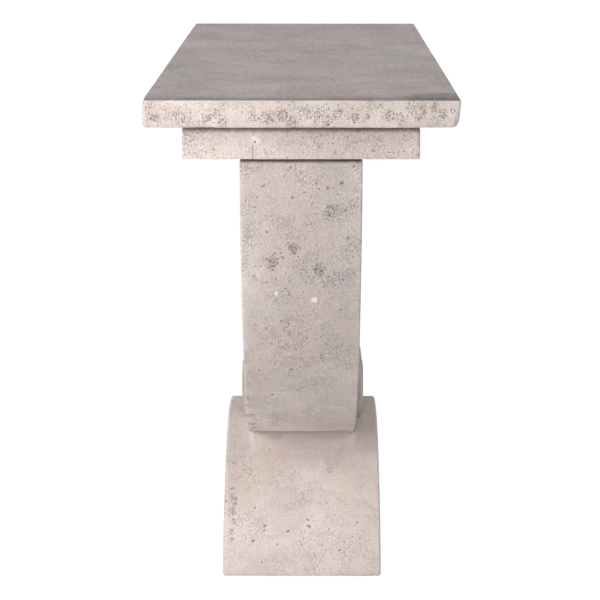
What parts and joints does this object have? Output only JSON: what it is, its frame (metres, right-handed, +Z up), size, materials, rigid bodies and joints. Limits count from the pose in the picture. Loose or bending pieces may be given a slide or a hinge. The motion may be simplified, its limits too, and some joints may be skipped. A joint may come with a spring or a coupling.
{
  "type": "garden console table",
  "caption": "Cast-stone garden console table: thin slab on a set-back lintel, half-round cradle standing in the crown of a wider arched foot, with a round boss at each side of the crossing.",
  "frame": {"origin": "on the floor, under the middle of the table", "axes": "+X along the length of the top, +Y across its width, +Z up"},
  "size_m": [1.14, 0.41, 0.76],
  "materials": {
    "cast_stone_top": "matt, trowelled, finely pitted",
    "cast_stone": "matt, pitted like travertine, worn arrises",
    "mortar": "matt, sandy, recessed",
    "resin": "set epoxy",
    "packer_plastic": "moulded",
    "stainless_steel": "drawn bar, threaded look left plain",
    "reinforcement": "galvanised bar, dull"
  },
  "bodies": {
    "root": {"top_slab": "cast_stone_top", "lintel": "cast_stone", "cradle": "cast_stone", "arched_foot": "cast_stone", "rosette_right": "cast_stone", "rosette_left": "cast_stone", "slab_bed": "mortar", "cradle_bed_front": "mortar", "cradle_bed_back": "mortar", "foot_bed": "mortar", "rosette_bed_right": "resin", "rosette_bed_left": "resin", "slab_packers": "packer_plastic", "cradle_packers": "packer_plastic", "slab_dowels": "stainless_steel", "cradle_dowels": "stainless_steel", "foot_dowels": "stainless_steel", "rosette_dowel": "stainless_steel", "slab_dowel_resin": "resin", "cradle_dowel_resin": "resin", "foot_dowel_resin": "resin", "rosette_dowel_resin": "resin", "slab_long_bars": "reinforcement", "slab_cross_bars": "reinforcement", "lintel_long_bars": "reinforcement", "lintel_cross_bars": "reinforcement", "cradle_bars": "reinforcement", "cradle_links": "reinforcement", "foot_bars": "reinforcement", "foot_cross_bars": "reinforcement"}
  },
  "joints": []
}
